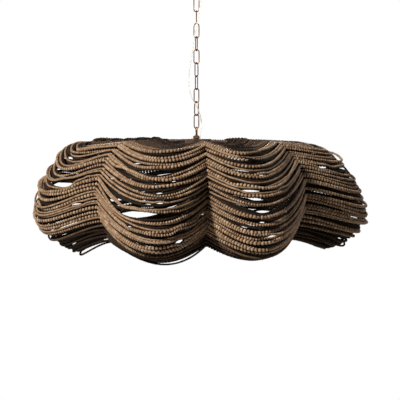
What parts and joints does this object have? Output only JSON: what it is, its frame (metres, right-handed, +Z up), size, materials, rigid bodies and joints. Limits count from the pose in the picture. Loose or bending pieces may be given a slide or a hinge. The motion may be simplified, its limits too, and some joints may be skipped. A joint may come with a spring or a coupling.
{
  "type": "beaded chandelier",
  "caption": "Round chandelier of lobed drapes of wooden bead strands on an iron frame, hung on a copper chain with a clear lamp cord from a ceiling canopy",
  "frame": {"origin": "the middle of the ceiling plate's upper face, where it meets the ceiling", "axes": "+Z is up, against the ceiling; the front of the picture is -Y, where a rib of the frame stands; +X is to the right, through the middle of the right-hand lobe"},
  "size_m": [1.0738, 0.999, 0.9225],
  "materials": {
    "antique_copper": "antique copper, worn satin",
    "frame_iron": "dark bronze paint",
    "wood_beads": "taupe brown wood, oiled matte",
    "clear_cord": "clear vinyl over stranded wire",
    "smoked_glass": "smoked brown glass",
    "black_plastic": "moulded, matte"
  },
  "bodies": {
    "mounting": {"ceiling_plate": "antique_copper", "canopy": "antique_copper", "canopy_ring_nut": "antique_copper", "canopy_loop": "antique_copper", "terminal_block": "black_plastic", "lamp_cord": "clear_cord"},
    "link_01": {"chain_link_01": "antique_copper"},
    "link_02": {"chain_link_02": "antique_copper"},
    "link_03": {"chain_link_03": "antique_copper"},
    "link_04": {"chain_link_04": "antique_copper"},
    "link_05": {"chain_link_05": "antique_copper"},
    "link_06": {"chain_link_06": "antique_copper"},
    "link_07": {"chain_link_07": "antique_copper"},
    "link_08": {"chain_link_08": "antique_copper"},
    "link_09": {"chain_link_09": "antique_copper"},
    "link_10": {"chain_link_10": "antique_copper"},
    "link_11": {"chain_link_11": "antique_copper"},
    "shade_loop": {"hub_loop": "antique_copper"},
    "shade": {"hub_collar": "antique_copper", "hub_plate": "frame_iron", "hub_stem": "frame_iron", "bottom_ring": "frame_iron", "socket_cluster": "frame_iron", "rib_front": "frame_iron", "rib_front_left": "frame_iron", "rib_back_left": "frame_iron", "rib_back": "frame_iron", "rib_back_right": "frame_iron", "rib_front_right": "frame_iron", "socket_1": "black_plastic", "socket_2": "black_plastic", "socket_3": "black_plastic", "bulb_1": "smoked_glass", "bulb_2": "smoked_glass", "bulb_3": "smoked_glass", "beads_front_left_shoulder": "wood_beads", "beads_front_left_upper": "wood_beads", "beads_front_left_middle": "wood_beads", "beads_front_left_lower": "wood_beads", "beads_left_shoulder": "wood_beads", "beads_left_upper": "wood_beads", "beads_left_middle": "wood_beads", "beads_left_lower": "wood_beads", "beads_back_left_shoulder": "wood_beads", "beads_back_left_upper": "wood_beads", "beads_back_left_middle": "wood_beads", "beads_back_left_lower": "wood_beads", "beads_back_right_shoulder": "wood_beads", "beads_back_right_upper": "wood_beads", "beads_back_right_middle": "wood_beads", "beads_back_right_lower": "wood_beads", "beads_right_shoulder": "wood_beads", "beads_right_upper": "wood_beads", "beads_right_middle": "wood_beads", "beads_right_lower": "wood_beads", "beads_front_right_shoulder": "wood_beads", "beads_front_right_upper": "wood_beads", "beads_front_right_middle": "wood_beads", "beads_front_right_lower": "wood_beads"}
  },
  "joints": [
    {"name": "link_01_swing", "type": "hinge", "parent": "mounting", "child": "link_01", "pos_m": [0, 0, -0.0821], "axis": [1, 0, 0], "range_deg": [-8, 8], "deforming": ["lamp_cord"]},
    {"name": "link_02_swing", "type": "hinge", "parent": "link_01", "child": "link_02", "pos_m": [0, 0, -0.12255], "axis": [0, 1, 0], "range_deg": [-8, 8]},
    {"name": "link_03_swing", "type": "hinge", "parent": "link_02", "child": "link_03", "pos_m": [0, 0, -0.16375], "axis": [1, 0, 0], "range_deg": [-8, 8]},
    {"name": "link_04_swing", "type": "hinge", "parent": "link_03", "child": "link_04", "pos_m": [0, 0, -0.20495], "axis": [0.0698, 0.9976, 0], "range_deg": [-8, 8]},
    {"name": "link_05_swing", "type": "hinge", "parent": "link_04", "child": "link_05", "pos_m": [0, 0, -0.24615], "axis": [0.9903, 0.1392, 0], "range_deg": [-8, 8]},
    {"name": "link_06_swing", "type": "hinge", "parent": "link_05", "child": "link_06", "pos_m": [0, 0, -0.28735], "axis": [0.4067, 0.9135, 0], "range_deg": [-8, 8]},
    {"name": "link_07_swing", "type": "hinge", "parent": "link_06", "child": "link_07", "pos_m": [0, 0, -0.32855], "axis": [0.9781, -0.2079, 0], "range_deg": [-8, 8]},
    {"name": "link_08_swing", "type": "hinge", "parent": "link_07", "child": "link_08", "pos_m": [0, 0, -0.36975], "axis": [0.6428, 0.766, 0], "range_deg": [-8, 8]},
    {"name": "link_09_swing", "type": "hinge", "parent": "link_08", "child": "link_09", "pos_m": [0, 0, -0.41095], "axis": [-0.342, 0.9397, 0], "range_deg": [-8, 8]},
    {"name": "link_10_swing", "type": "hinge", "parent": "link_09", "child": "link_10", "pos_m": [0, 0, -0.45215], "axis": [0.9397, 0.342, 0], "range_deg": [-8, 8]},
    {"name": "link_11_swing", "type": "hinge", "parent": "link_10", "child": "link_11", "pos_m": [0, 0, -0.49335], "axis": [0.6691, -0.7431, 0], "range_deg": [-8, 8]},
    {"name": "shade_loop_swing", "type": "hinge", "parent": "link_11", "child": "shade_loop", "pos_m": [0, 0, -0.53455], "axis": [0.9272, 0.3746, 0], "range_deg": [-8, 8]},
    {"name": "shade_turn", "type": "hinge", "parent": "shade_loop", "child": "shade", "pos_m": [0, 0, -0.5575], "axis": [0, 0, 1], "range_deg": [-60, 60]}
  ]
}
